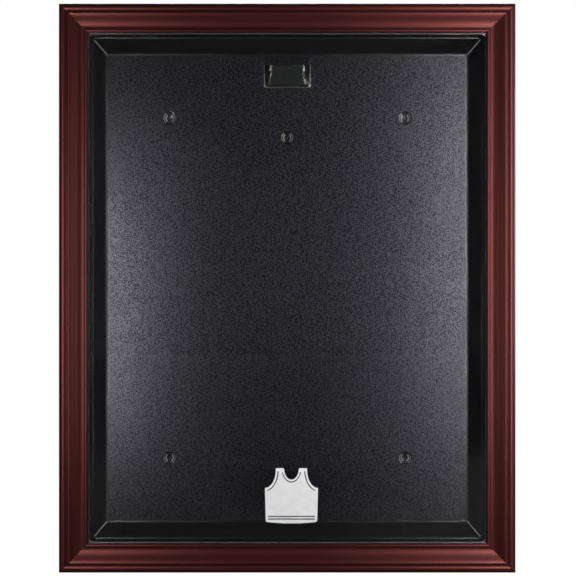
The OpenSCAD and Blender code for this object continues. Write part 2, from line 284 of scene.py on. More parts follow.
def two_tone(tree, mask, dark, light, low=0.3, high=0.7):
    ramp = add(tree, "ShaderNodeValToRGB", {"Fac": mask})
    ramp.color_ramp.elements[0].position = low
    ramp.color_ramp.elements[1].position = high
    ramp.color_ramp.elements[0].color = (*dark, 1.0)
    ramp.color_ramp.elements[1].color = (*light, 1.0)
    return ramp.outputs["Color"]

# %% [markdown]
# ### Mahogany stain
# The frame is a light wood under a dark red stain and a satin lacquer. The stain hides most of the figure,
# so the grain is long, faint streaks with fine dark pores. Both are noise that is squeezed across the
# grain and stretched along it. Each side of the frame is cut from a length that runs its own way, so the
# uprights and the level rails have one material each, and only the stretch differs.

# %% The mahogany materials
STAIN_DARK = (0.016, 0.0040, 0.0036)
STAIN_LIGHT = (0.036, 0.0088, 0.0080)
LACQUER_TINT = (1.0, 0.25, 0.235, 1.0)


def mahogany(name, stretch):
    material, tree, surface = shader(
        name, STAIN_LIGHT, Specular_IOR_Level=0.5, Specular_Tint=LACQUER_TINT,
        Coat_Weight=0.04, Coat_Roughness=0.2,
    )
    where = add(tree, "ShaderNodeTexCoord").outputs["Object"]
    along = add(tree, "ShaderNodeMapping", {"Vector": where, "Scale": stretch}).outputs[0]
    figure = add(
        tree, "ShaderNodeTexNoise", {"Vector": along, "Scale": 55.0, "Detail": 5.0, "Distortion": 0.6}
    )
    pores = add(tree, "ShaderNodeTexNoise", {"Vector": along, "Scale": 620.0, "Detail": 2.0})
    colour = two_tone(tree, figure.outputs["Fac"], STAIN_DARK, STAIN_LIGHT, 0.25, 0.75)
    pore_mask = add(
        tree, "ShaderNodeMapRange",
        {"Value": pores.outputs["Fac"], "From Min": 0.30, "From Max": 0.42, "To Min": 0.72, "To Max": 1.0},
    )
    shaded = add(tree, "ShaderNodeVectorMath", {0: colour, 1: pore_mask.outputs[0]}, operation="MULTIPLY")
    tree.links.new(shaded.outputs[0], surface.inputs["Base Color"])
    marks = group(tree, HANDLING_MARKS, Scale=14.0, Roughness=0.39, Amount=0.08)
    tree.links.new(marks.outputs["Roughness"], surface.inputs["Roughness"])
    bump(tree, surface, pores.outputs["Fac"], 0.00004, 0.5)
    return material


MAHOGANY_UPRIGHT = mahogany("mahogany_upright", (1.0, 1.0, 0.03))
MAHOGANY_LEVEL = mahogany("mahogany_level", (0.03, 1.0, 1.0))

# %% [markdown]
# ### Black plastics
# The tray is one moulding with several finishes. Its flat back sheet is etched with a leathery grain,
# which breaks the light into a soft mottle. Its walls, its screw dimples and the pocket are nearly smooth,
# so they look darker and catch thin bright lines along their rounded edges. Two lighter greys are painted
# highlights: the brighter one down the four corners of the leaning walls, on the sides of the dimples' deeper
# steps and at the pocket's upper edges, and the fainter one on the rim, on the sides of the dimples' outer
# steps and round the pocket's foot. All the finishes are one function with different values.
#
# The pits of the grain send almost no light back. The export can't carry a specular level that changes
# over the surface, but it can carry Metallic, and a metal of a nearly black colour reflects nearly
# nothing. So the pits are given a large share of it.

# %% The black plastic materials
EVEN_GLOSS = (0.42, 0.42)
WHITE = (1.0, 1.0, 1.0)


def black_plastic(name, colour, roughness, depth, cells=430.0, gloss=EVEN_GLOSS, drift=0.06, tint=WHITE):
    material, tree, surface = shader(name, colour, Specular_IOR_Level=gloss[1], Specular_Tint=(*tint, 1.0))
    grain = group(tree, MOULDED_GRAIN, Cells_a_metre=cells, Mottle_scale=0.8 * cells)
    marks = group(tree, HANDLING_MARKS, Scale=9.0, Roughness=roughness, Amount=drift)
    tree.links.new(marks.outputs["Roughness"], surface.inputs["Roughness"])
    pits = add(
        tree, "ShaderNodeMapRange",
        {"Value": grain.outputs["Mottle"], "From Min": 0.40, "From Max": 0.60,
         "To Min": 1.0 - gloss[0] / gloss[1], "To Max": 0.0},
    )
    tree.links.new(pits.outputs[0], surface.inputs["Metallic"])
    dark, light = [tuple(share * c for c in colour) for share in (0.5, 1.7)]
    tree.links.new(two_tone(tree, grain.outputs["Mottle"], dark, light), surface.inputs["Base Color"])
    bump(tree, surface, grain.outputs["Height"], depth)
    return material


TRAY_GRAINED = black_plastic(
    "tray_grained", (0.0045, 0.0045, 0.0062), 0.28, 0.00006, 520.0, (0.05, 0.38), 0.015, (0.92, 0.90, 1.0)
)
TRAY_SMOOTH = black_plastic("tray_smooth", (0.0022, 0.0022, 0.0025), 0.24, 0.00002)
# The next two finishes are painted highlights: lighter greys for light caught along creases and edges.
TRAY_PAINTED_HIGHLIGHT = black_plastic("tray_painted_highlight", (0.100, 0.100, 0.102), 0.30, 0.00002)
TRAY_PAINTED_FAINT_HIGHLIGHT = black_plastic("tray_painted_faint_highlight", (0.034, 0.034, 0.034), 0.34, 0.00002)
TRAY_DULL = black_plastic("tray_dull", (0.013, 0.013, 0.013), 0.42, 0.00003)
STRIP_BLACK = black_plastic("strip_black", (0.006, 0.006, 0.006), 0.48, 0.00004, 900.0)

# %% [markdown]
# ### Clear acrylic
# A polished sheet bends light a little and reflects about a twenty-fifth of it. Lamps have to reach what
# is behind it, and a path tracer can't find its way to a lamp through bending glass, so rays on their way
# to a lamp pass a Transparent shader instead.

# %% The acrylic material
def clear_acrylic():
    material, tree, surface = shader(
        "clear_acrylic", (1.0, 1.0, 1.0), Transmission_Weight=1.0, Roughness=0.0, IOR=1.49
    )
    output = tree.nodes["Material Output"]
    clear = tree.nodes.new("ShaderNodeBsdfTransparent")
    path = tree.nodes.new("ShaderNodeLightPath")
    mix = tree.nodes.new("ShaderNodeMixShader")
    tree.links.new(path.outputs["Is Shadow Ray"], mix.inputs[0])
    tree.links.new(surface.outputs[0], mix.inputs[1])
    tree.links.new(clear.outputs[0], mix.inputs[2])
    tree.links.new(mix.outputs[0], output.inputs["Surface"])
    return material


ACRYLIC = clear_acrylic()

# %% [markdown]
# ### Print and metals
# The emblem is white ink, which is a little uneven in its gloss. The hinges are black-plated steel with
# faint rubbed patches. The screws, pins and plates are zinc-plated, which is a bright grey with a slow
# blue and yellow drift in it.

# %% The print and metal materials
def printed_white():
    material, tree, surface = shader("white_ink", (0.86, 0.86, 0.86))
    marks = group(tree, HANDLING_MARKS, Scale=60.0, Roughness=0.42, Amount=0.12)
    tree.links.new(marks.outputs["Roughness"], surface.inputs["Roughness"])
    uneven = two_tone(tree, marks.outputs["Mask"], (0.82, 0.82, 0.82), (0.90, 0.90, 0.90))
    tree.links.new(uneven, surface.inputs["Base Color"])
    return material


def plated(name, dark, light, roughness, metallic):
    material, tree, surface = shader(name, light, Metallic=metallic)
    marks = group(tree, HANDLING_MARKS, Scale=110.0, Roughness=roughness, Amount=0.16)
    tree.links.new(marks.outputs["Roughness"], surface.inputs["Roughness"])
    tree.links.new(two_tone(tree, marks.outputs["Mask"], dark, light), surface.inputs["Base Color"])
    bump(tree, surface, marks.outputs["Mask"], 0.00002)
    return material


INK = printed_white()
ZINC = plated("zinc_plate", (0.50, 0.51, 0.55), (0.66, 0.65, 0.60), 0.32, 1.0)
BLACK_PLATE = plated("black_plate", (0.030, 0.030, 0.033), (0.052, 0.050, 0.050), 0.38, 0.6)
print("made", len(bpy.data.materials), "materials")

# %% [markdown]
# ## The wood frame
# A mitred frame is one moulding, cut into four lengths at 45 degrees. The moulding's section is worked out
# once as a closed outline: a round outer bead, a quirk, the crest, a long ogee that falls towards the
# opening, another quirk, an inner bead, and the rabbet behind it. The sweep itself suits Geometry Nodes,
# because the four sides differ only in their length and in which way they face.

# %% The moulding's section
def arc(centre, radius, start, end, steps):
    angles = [math.radians(start + (end - start) * i / steps) for i in range(steps + 1)]
    return [(centre[0] + radius * math.cos(a), centre[1] + radius * math.sin(a)) for a in angles]


BEAD_R = 9.4 * MM
BEAD_AT = (9.4 * MM, RAIL_T - 12.5 * MM)
SWELL_U = 16.6 * MM
CREST_U = 20.5 * MM
VALLEY_U = RAIL_W - 9.5 * MM
VALLEY_V = RAIL_T - 8.6 * MM
QUIRK_V = RAIL_T - 5.6 * MM
INNER_BEAD_R = 4.6 * MM
INNER_BEAD_AT = (RAIL_W - 4 * MM, VALLEY_V - 3.2 * MM)


def ogee(u):
    if u < CREST_U:
        return RAIL_T - 2.3 * MM * ((CREST_U - u) / (CREST_U - SWELL_U)) ** 2
    fall = ((u - CREST_U) / (VALLEY_U - CREST_U)) ** 0.8
    return VALLEY_V + (RAIL_T - VALLEY_V) * (0.5 + 0.5 * math.cos(math.pi * fall))


def moulding_section():
    ogee_steps = 60
    ogee_us = [SWELL_U + (VALLEY_U - SWELL_U) * i / ogee_steps for i in range(ogee_steps + 1)]
    soft = 0.6 * MM
    return [
        (soft, 0.0), (0.0, soft),
        *arc(BEAD_AT, BEAD_R, 157, 52, 26),
        (15.3 * MM, QUIRK_V), (16.3 * MM, QUIRK_V),
        *[(u, ogee(u)) for u in ogee_us],
        (VALLEY_U + 0.6 * MM, VALLEY_V - 0.8 * MM), (VALLEY_U + 1.6 * MM, VALLEY_V - 0.8 * MM),
        *arc(INNER_BEAD_AT, INNER_BEAD_R, 145, 42, 16),
        (RAIL_W, INNER_BEAD_AT[1] + 2 * MM), (RAIL_W, RABBET_D),
        (RAIL_W - RABBET_W, RABBET_D), (RAIL_W - RABBET_W, 0.0),
    ]


def outline_object(name, points):
    mesh = bpy.data.meshes.new(name)
    edges = [(i, (i + 1) % len(points)) for i in range(len(points))]
    mesh.from_pydata([(u, -v, 0.0) for u, v in points], edges, [])
    thing = bpy.data.objects.new(name, mesh)
    bpy.context.scene.collection.objects.link(thing)
    return thing


print("moulding section:", len(moulding_section()), "points")

# %% [markdown]
# The tree sweeps the section up a straight line. A mitre then needs no cutter: a line of the section that
# lies a distance u in from the outer edge has to end u short of the corner, so each point is only moved
# along the length, by the ratio of (half length - u) to half length. Last, the side is pushed out to its
# reach and turned into place.

# %% The mitred moulding tree
def mitred_moulding():
    tree, start, end = new_tree(
        "Mitred moulding", "GeometryNodeTree",
        [
            ("Section", "NodeSocketGeometry"), ("Half length", "NodeSocketFloat"),
            ("Reach", "NodeSocketFloat"), ("Back", "NodeSocketFloat"), ("Turn", "NodeSocketFloat"),
            ("Finish", "NodeSocketMaterial"),
        ],
        [("Geometry", "NodeSocketGeometry")],
    )
    given = start.outputs
    below = add(tree, "ShaderNodeMath", {0: given["Half length"], 1: -1.0}, operation="MULTIPLY")
    foot = add(tree, "ShaderNodeCombineXYZ", {"Z": below.outputs[0]})
    head = add(tree, "ShaderNodeCombineXYZ", {"Z": given["Half length"]})
    line = add(tree, "GeometryNodeCurvePrimitiveLine", {"Start": foot.outputs[0], "End": head.outputs[0]})
    section = add(tree, "GeometryNodeMeshToCurve", {"Mesh": given["Section"]})
    swept = add(
        tree, "GeometryNodeCurveToMesh",
        {"Curve": line.outputs[0], "Profile Curve": section.outputs[0], "Fill Caps": True},
    )
    at = add(tree, "ShaderNodeSeparateXYZ", {0: add(tree, "GeometryNodeInputPosition").outputs[0]})
    short = add(tree, "ShaderNodeMath", {0: given["Half length"], 1: at.outputs["X"]}, operation="SUBTRACT")
    ratio = add(tree, "ShaderNodeMath", {0: short.outputs[0], 1: given["Half length"]}, operation="DIVIDE")
    height = add(tree, "ShaderNodeMath", {0: at.outputs["Z"], 1: ratio.outputs[0]}, operation="MULTIPLY")
    mitred_at = add(
        tree, "ShaderNodeCombineXYZ", {"X": at.outputs["X"], "Y": at.outputs["Y"], "Z": height.outputs[0]}
    )
    mitred = add(
        tree, "GeometryNodeSetPosition", {"Geometry": swept.outputs[0], "Position": mitred_at.outputs[0]}
    )
    left = add(tree, "ShaderNodeMath", {0: given["Reach"], 1: -1.0}, operation="MULTIPLY")
    push = add(tree, "ShaderNodeCombineXYZ", {"X": left.outputs[0], "Y": given["Back"]})
    turn = add(tree, "ShaderNodeCombineXYZ", {"Y": given["Turn"]})
    pushed = add(
        tree, "GeometryNodeTransform", {"Geometry": mitred.outputs[0], "Translation": push.outputs[0]}
    )
    turned = add(tree, "GeometryNodeTransform", {"Geometry": pushed.outputs[0], "Rotation": turn.outputs[0]})
    real = add(tree, "GeometryNodeRealizeInstances", {"Geometry": turned.outputs[0]})
    finished = add(
        tree, "GeometryNodeSetMaterial", {"Geometry": real.outputs[0], "Material": given["Finish"]}
    )
    tree.links.new(finished.outputs[0], end.inputs[0])
    return tree


MITRED_MOULDING = mitred_moulding()
print("geometry tree:", MITRED_MOULDING.name)

# %% Grow the four sides
SIDES = {
    "left_stile": (CASE_HALF_W, CASE_HALF_H, 0, MAHOGANY_UPRIGHT),
    "right_stile": (CASE_HALF_W, CASE_HALF_H, 180, MAHOGANY_UPRIGHT),
    "top_rail": (CASE_HALF_H, CASE_HALF_W, 90, MAHOGANY_LEVEL),
    "bottom_rail": (CASE_HALF_H, CASE_HALF_W, -90, MAHOGANY_LEVEL),
}


def frame_side(node):
    reach, half_length, turn, finish = SIDES[node]
    side = outline_object(node + "_moulding", moulding_section())
    grow(side, MITRED_MOULDING, {
        "Half length": half_length, "Reach": reach, "Back": FRAME_Y, "Turn": math.radians(turn),
        "Finish": finish,
    })
    shade(side.data, 24)
    return side


frame_sides = {node: frame_side(node) for node in SIDES}

# %% [markdown]
# The right stile has a round pocket for each catch magnet. A Boolean takes two discs out of it, a little
# wider than the magnets, so that a fine dark ring shows around each one from behind.

#
# `combine` does the Boolean here, and again for the tray's lugs and the crosses in the screws.

# %% Sink the magnets in the right stile
def disc(shape, centre, radius, front, back, segments=48):
    ring = bmesh.ops.create_circle(shape, cap_ends=True, radius=radius, segments=segments)["verts"]
    for vert in ring:
        vert.co = Vector((centre[0] + vert.co.x, front, centre[1] + vert.co.y))
    faces = [face for face in shape.faces if all(v in ring for v in face.verts)]
    grown = bmesh.ops.extrude_face_region(shape, geom=faces)
    for vert in [item for item in grown["geom"] if isinstance(item, bmesh.types.BMVert)]:
        vert.co.y = back


def combine(thing, cutter, operation="DIFFERENCE", overlapping=False):
    modifier = thing.modifiers.new("combine", "BOOLEAN")
    modifier.object = cutter
    modifier.operation = operation
    modifier.solver = "EXACT"
    modifier.use_self = overlapping
    freeze(thing)
    discard(cutter)


POCKET_CLEARANCE = 0.25 * MM


def magnet_pockets():
    shape = bmesh.new()
    for node in ("catch_magnet_upper", "catch_magnet_lower"):
        low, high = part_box(node)
        middle = (low + high) / 2
        radius = (high.x - low.x) / 2 + POCKET_CLEARANCE
        disc(shape, (middle.x, middle.z), radius, low.y - 0.1 * MM, FRAME_Y + 2 * MM)
    bmesh.ops.recalc_face_normals(shape, faces=shape.faces)
    return settle("magnet_pockets", shape, [MAHOGANY_UPRIGHT])


combine(frame_sides["right_stile"], magnet_pockets())
shade(frame_sides["right_stile"].data, 24)
for node, side in frame_sides.items():
    place(side, "door", "mahogany_wood", node)

# %% [markdown]
# ## The backing tray
# The tray is one sheet of plastic, formed over a mould: a straight collar, a ledge, walls that lean in,
# and a flat back with screw dimples and a hanging pocket. The collar, the ledge, the walls and the dimples
# are stacks of outlines with faces between them, called lofts. `soften` rounds the corners of the path
# that a loft follows, so that each crease is a real fillet which catches the light. The pocket is a grid
# raised by a rule, and the flats are filled in between.

# %% Tools for lofts
DIMPLE_SEGMENTS = 44
CORNER_STEPS = 8


def soften(path, trims, steps=5):
    smooth = [path[0]]
    for before, at, after, trim in zip(path, path[1:], path[2:], trims):
        near, far = [
            [a + (b - a) * min(0.48, trim * MM / math.dist(at, other)) for a, b in zip(at, other)]
            for other in (before, after)
        ]
        for i in range(steps + 1):
            t = i / steps
            smooth.append([
                (1 - t) ** 2 * n + 2 * t * (1 - t) * a + t * t * f for n, a, f in zip(near, at, far)
            ])
    return smooth + [path[-1]]


def rounded_rectangle(half_w, half_h, radius, y, steps=CORNER_STEPS):
    points = []
    for quarter, (sx, sz) in enumerate(((1, 1), (-1, 1), (-1, -1), (1, -1))):
        for i in range(steps + 1):
            a = math.radians(90 * (quarter + i / steps))
            x = sx * (half_w - radius) + radius * math.cos(a)
            z = sz * (half_h - radius) + radius * math.sin(a)
            points.append((x, y, z))
    return points


def ring_at(centre, radius, y):
    angles = [2 * math.pi * i / DIMPLE_SEGMENTS for i in range(DIMPLE_SEGMENTS)]
    return [(centre[0] + radius * math.cos(a), y, centre[1] + radius * math.sin(a)) for a in angles]


def loft(shape, outlines, material_at):
    rings = [[shape.verts.new(point) for point in outline] for outline in outlines]
    for ring, following in zip(rings, rings[1:]):
        for i in range(len(ring)):
            j = (i + 1) % len(ring)
            face = shape.faces.new((ring[i], ring[j], following[j], following[i]))
            face.material_index = material_at(i, face.calc_center_median())
    return rings[0], rings[-1]


def fill(shape, loops, material):
    edges = []
    for loop in loops:
        for a, b in zip(loop, loop[1:] + loop[:1]):
            edge = shape.edges.get((a, b))
            edges.append(edge if edge else shape.edges.new((a, b)))
    made = bmesh.ops.triangle_fill(shape, use_beauty=True, use_dissolve=False, edges=edges)
    for item in made["geom"]:
        if isinstance(item, bmesh.types.BMFace):
            item.material_index = material

# %% [markdown]
# ### The collar and the leaning walls
# One path goes round the whole edge of the sheet: it starts on the flat front of the back sheet, climbs
# the leaning wall, crosses the ledge, follows the collar to the rim, and comes back down the outside. Each
# station is a half width, a half height, a corner radius and a depth.

# %% The tray's edge
RIM_T = 3 * MM
LEDGE_W = 3 * MM
COLLAR_D = 19.5 * MM
SHEET_T = 2.5 * MM
SHEET_Y = -9 * MM
SLOPE_X = 18.5 * MM
SLOPE_Z = 21 * MM
TRAY_HALF_W = -tray_low.x
TRAY_HALF_H = tray_high.z
RIM_Y = tray_low.y
LEDGE_Y = RIM_Y + COLLAR_D
LEAN_TOP_W = TRAY_HALF_W - RIM_T - LEDGE_W
LEAN_TOP_H = TRAY_HALF_H - RIM_T - LEDGE_W
SHEET_HALF_W = LEAN_TOP_W - SLOPE_X
SHEET_HALF_H = LEAN_TOP_H - SLOPE_Z
LEAN_D = SHEET_Y - LEDGE_Y


def wall_behind(slope):
    lean = slope / LEAN_D
    side = SHEET_T * math.sqrt(1 + lean * lean)
    return side, side - lean * SHEET_T


SIDE_TOP, SIDE_FOOT = wall_behind(SLOPE_X)
END_TOP, END_FOOT = wall_behind(SLOPE_Z)
MARGIN = 5 * MM


def inside_path():
    return [
        [SHEET_HALF_W - MARGIN, SHEET_HALF_H - MARGIN, 3 * MM, SHEET_Y],
        [SHEET_HALF_W, SHEET_HALF_H, 4 * MM, SHEET_Y],
        [LEAN_TOP_W, LEAN_TOP_H, 6 * MM, LEDGE_Y],
        [TRAY_HALF_W - RIM_T, TRAY_HALF_H - RIM_T, 8 * MM, LEDGE_Y],
        [TRAY_HALF_W - RIM_T, TRAY_HALF_H - RIM_T, 8 * MM, RIM_Y],
        [TRAY_HALF_W, TRAY_HALF_H, 2 * MM, RIM_Y],
        [TRAY_HALF_W, TRAY_HALF_H, 2 * MM, LEDGE_Y + SHEET_T],
        [LEAN_TOP_W + SIDE_TOP, LEAN_TOP_H + END_TOP, 7 * MM, LEDGE_Y + SHEET_T],
        [SHEET_HALF_W + SIDE_FOOT, SHEET_HALF_H + END_FOOT, 5 * MM, SHEET_Y + SHEET_T],
        [SHEET_HALF_W - MARGIN, SHEET_HALF_H - MARGIN, 3 * MM, SHEET_Y + SHEET_T],
    ]


EDGE_TRIMS = (2.6, 1.6, 1.5, 0.9, 0.9, 1.5, 2.0, 2.5)
print(f"back sheet {2 * SHEET_HALF_W:.3f} by {2 * SHEET_HALF_H:.3f}, {LEAN_D:.4f} behind the ledge")

# %% [markdown]
# ### The screw dimples
# A wall screw has to be driven from inside the case and its head must not touch the jersey. So the sheet
# steps back twice around each hole, and the foot behind it stands on the wall. One path of radius and
# depth is lofted around each of the five places: down the steps, through the hole, and back up the
# outside.

# %% The dimples' path and places
mounts = {mount["name"]: mount for mount in frame["record"]["mounts"]}
SCREW_DX = mounts["wall_screws"]["dims"]["spacing_x_mm"] * MM / 2
SCREW_DZ = mounts["wall_screws"]["dims"]["spacing_y_mm"] * MM / 2
SCREW_HOLE_R = mounts["wall_screws"]["dims"]["hole_r_mm"] * MM
TOP_DIMPLE_Z = mounts["top_centre_screw_hole"]["pos_m"][2]
DIMPLES = [(sx * SCREW_DX, sz * SCREW_DZ) for sx in (-1, 1) for sz in (-1, 1)] + [(0.0, TOP_DIMPLE_Z)]
STEP_Y = SHEET_Y + 3.4 * MM
DIMPLE_PATH = soften(
    [
        [14.4 * MM, SHEET_Y], [11.4 * MM, SHEET_Y], [10.2 * MM, STEP_Y], [7.2 * MM, STEP_Y],
        [6.3 * MM, -SHEET_T], [SCREW_HOLE_R, -SHEET_T], [SCREW_HOLE_R, 0.0], [8.6 * MM, 0.0],
        [8.6 * MM, STEP_Y + SHEET_T], [12.8 * MM, STEP_Y + SHEET_T], [12.8 * MM, SHEET_Y + SHEET_T],
        [14.6 * MM, SHEET_Y + SHEET_T],
    ],
    (1.7, 1.0, 1.4, 0.9, 0.4, 0.3, 0.6, 0.8, 0.6, 0.8),
    steps=4,
)
print(len(DIMPLES), "dimples of", len(DIMPLE_PATH), "rings each")

# %% [markdown]
# ### The hanging pocket
# A hook on the wall goes up into a pocket at the top of the sheet. From the front the pocket is a wedge
# that stands out furthest at its top, with leaning sides. Its height above the sheet follows a rule: it is
# the lowest of five sloping planes. A smooth minimum, which rounds the place where two values cross, makes
# every edge a fillet. A low ramp above the wedge joins it to the top wall. The front and the back of the
# sheet use the same rule, and the back is smaller all round by the sheet's thickness. Both are grids of
# fine cells.

# %% The pocket's rule
POCKET_Z = 411 * MM
POCKET_HALF_W = 45 * MM
POCKET_HALF_H = 21.5 * MM
POCKET_OUT = 16 * MM
POCKET_LOW_OUT = 5 * MM
CHEEK_STEEPNESS = 0.59
CHEEK_STEEPER = 0.595
RIDGE_IN = 8.5 * MM
RIDGE_LEAN = 5 * MM
WINDOW_HALF_W = 58 * MM
WINDOW_LOW = POCKET_Z - 27 * MM
WINDOW_HIGH = SHEET_HALF_H - MARGIN - 1 * MM


def smooth_min(a, b, blend):
    return 0.5 * (a + b - math.sqrt((a - b) ** 2 + blend * blend))


def pocket_height(x, z, shrink, blend):
    top = POCKET_Z + POCKET_HALF_H - shrink
    bottom = POCKET_Z - POCKET_HALF_H + shrink
    climb = (z - bottom - 3 * MM) / (top - bottom - 6.5 * MM)
    face = POCKET_LOW_OUT + (POCKET_OUT - POCKET_LOW_OUT) * climb
    steepness = CHEEK_STEEPNESS + CHEEK_STEEPER * min(max(climb, 0.0), 1.0)
    cheek = steepness * (POCKET_HALF_W - shrink - abs(x))
    above = POCKET_OUT * (top - z) / (3.5 * MM)
    below = POCKET_LOW_OUT * (z - bottom) / (3 * MM)
    height = smooth_min(face, above, blend)
    height = smooth_min(height, below, 0.5 * blend)
    return smooth_min(height, cheek, 1.5 * blend)


def ramp_height(x, z):
    along = (WINDOW_HIGH - 0.5 * MM - z) / (WINDOW_HIGH - POCKET_Z - POCKET_HALF_H)
    across = (POCKET_HALF_W - 1 * MM - abs(x)) / (4 * MM)
    return 3.6 * MM * smooth_min(smooth_min(along, across, 0.1), 1.0, 0.1)


def raised(x, z):
    height = pocket_height(x, z, 0.0, 1.2 * MM)
    if z > POCKET_Z:
        height = -smooth_min(-height, -ramp_height(x, z), 0.5 * MM)
    return max(-smooth_min(-height, 0.0, 0.8 * MM), 0.0)


def hollowed(x, z):
    return max(-smooth_min(-pocket_height(x, z, SHEET_T, 1.6 * MM), 0.0, 0.4 * MM), 0.0)

# %% The windows that hold the pocket
def window(shape, base_y, rule, finish, columns=92, rows=52):
    grid = []
    for row in range(rows + 1):
        z = WINDOW_LOW + (WINDOW_HIGH - WINDOW_LOW) * row / rows
        line = []
        for column in range(columns + 1):
            x = WINDOW_HALF_W * (2 * column / columns - 1)
            edge = row in (0, rows) or column in (0, columns)
            line.append(shape.verts.new((x, base_y - (0.0 if edge else rule(x, z)), z)))
        grid.append(line)
    for row in range(rows):
        for column in range(columns):
            corners = [(row, column), (row, column + 1), (row + 1, column + 1), (row + 1, column)]
            face = shape.faces.new([grid[r][c] for r, c in corners])
            middle = face.calc_center_median()
            face.material_index = finish(middle.x, middle.z, base_y - middle.y)
    right = [grid[row][columns] for row in range(1, rows)]
    left = [grid[row][0] for row in range(rows - 1, 0, -1)]
    return grid[0] + right + grid[rows][::-1] + left

# %% [markdown]
# ### Joining the tray
# With the edge, the dimples and the two windows in place, the two flats are triangulated between their
# outlines. The result is one closed skin, so its normals can be made to point outwards. The flat front
# gets the grained finish, and whatever faces the wall never touched the mould's polished side, so it's
# dull.

# %% Choose the finish of each face
# The two lighter finishes here are painted highlights, a brighter and a fainter one, for light caught along
# creases and edges.
SMOOTH, GRAINED, BRIGHT_PAINTED_HIGHLIGHT, FAINT_PAINTED_HIGHLIGHT, DULL = 0, 1, 2, 3, 4
CORNER_HIGHLIGHT_STEPS = (3, 4)


# Painted highlight: the steps' cones get lighter greys on their left and right sides, where the side lights
# fall, and the deeper step gets the brighter one.
def dimple_finish(step, middle):
    if min(abs(middle.y - SHEET_Y), abs(middle.y - STEP_Y)) < 0.05 * MM:
        return GRAINED
    on_cone = SHEET_Y + 0.3 * MM < middle.y < -SHEET_T - 0.3 * MM
    toward_side_lights = abs(math.cos(math.tau * (step + 0.5) / DIMPLE_SEGMENTS)) > 0.55
    if not (on_cone and toward_side_lights):
        return SMOOTH
    return BRIGHT_PAINTED_HIGHLIGHT if middle.y > STEP_Y else FAINT_PAINTED_HIGHLIGHT


# Painted highlight: the middle of each corner of the leaning walls gets the brighter grey, and the rim gets
# the fainter one.
def edge_finish(step, middle):
    in_corner = step % (CORNER_STEPS + 1) in CORNER_HIGHLIGHT_STEPS
    on_lean = LEDGE_Y + 0.5 * MM < middle.y < SHEET_Y - 0.5 * MM and abs(middle.x) < LEAN_TOP_W
    on_rim = middle.y < RIM_Y + 0.4 * MM
    if on_rim:
        return FAINT_PAINTED_HIGHLIGHT
    return BRIGHT_PAINTED_HIGHLIGHT if in_corner and on_lean else SMOOTH


# Painted highlight: a faint lighter line round the pocket's foot, and the brighter grey along the upper part
# of its two ridges.
def pocket_finish(x, z, height):
    climb = (z - POCKET_Z + POCKET_HALF_H) / (2 * POCKET_HALF_H)
    ridge = POCKET_HALF_W - RIDGE_IN - RIDGE_LEAN * climb
    if height < 0.3 * MM or (climb > 1.0 and height < 4.0 * MM):
        return GRAINED
    if height < 1.6 * MM and climb < 1.0:
        return FAINT_PAINTED_HIGHLIGHT
    return BRIGHT_PAINTED_HIGHLIGHT if abs(abs(x) - ridge) < 1.3 * MM and 0.66 < climb < 0.92 else SMOOTH


# %% Make the tray
def tray_shell():
    shape = bmesh.new()
    outlines = [rounded_rectangle(*station) for station in soften(inside_path(), EDGE_TRIMS)]
    front_edge, back_edge = loft(shape, outlines, edge_finish)
    front_loops, back_loops = [front_edge], [back_edge]
    for centre in DIMPLES:
        front, back = loft(shape, [ring_at(centre, r, y) for r, y in DIMPLE_PATH], dimple_finish)
        front_loops.append(front)
        back_loops.append(back)
    front_loops.append(window(shape, SHEET_Y, raised, pocket_finish))
    back_loops.append(window(shape, SHEET_Y + SHEET_T, hollowed, lambda x, z, height: SMOOTH))
    fill(shape, front_loops, GRAINED)
    fill(shape, back_loops, SMOOTH)
    bmesh.ops.recalc_face_normals(shape, faces=shape.faces)
    shape.normal_update()
    for face in shape.faces:
        if face.normal.y > 0.05:
            face.material_index = DULL
    open_edges = sum(len(edge.link_faces) != 2 for edge in shape.edges)
    print("tray shell:", len(shape.faces), "faces,", open_edges, "open edges, volume",
          round(shape.calc_volume(signed=True) * 1e6, 1), "cm3")
    finishes = [TRAY_SMOOTH, TRAY_GRAINED, TRAY_PAINTED_HIGHLIGHT, TRAY_PAINTED_FAINT_HIGHLIGHT, TRAY_DULL]
    return settle("backing_tray_shell", shape, finishes, 50)


tray = tray_shell()

# %% [markdown]
# ### The catch lugs
# Two lugs stand out of the tray's right side and carry the steel plates that the magnets grip. Each is a
# small shelf between two ribs. They are moulded with the tray, so a Boolean joins them to it.

# %% Add the lugs
LUG_HALF_L = 15 * MM
LUG_T = 3 * MM
RIB_T = 2.5 * MM


def prism(shape, outline, low, high):
    ends = [[shape.verts.new((x, y, z)) for x, y in outline] for z in (low, high)]
    shape.faces.new(ends[0][::-1])
    shape.faces.new(ends[1])
    for i in range(len(outline)):
        j = (i + 1) % len(outline)
        shape.faces.new((ends[0][i], ends[0][j], ends[1][j], ends[1][i]))


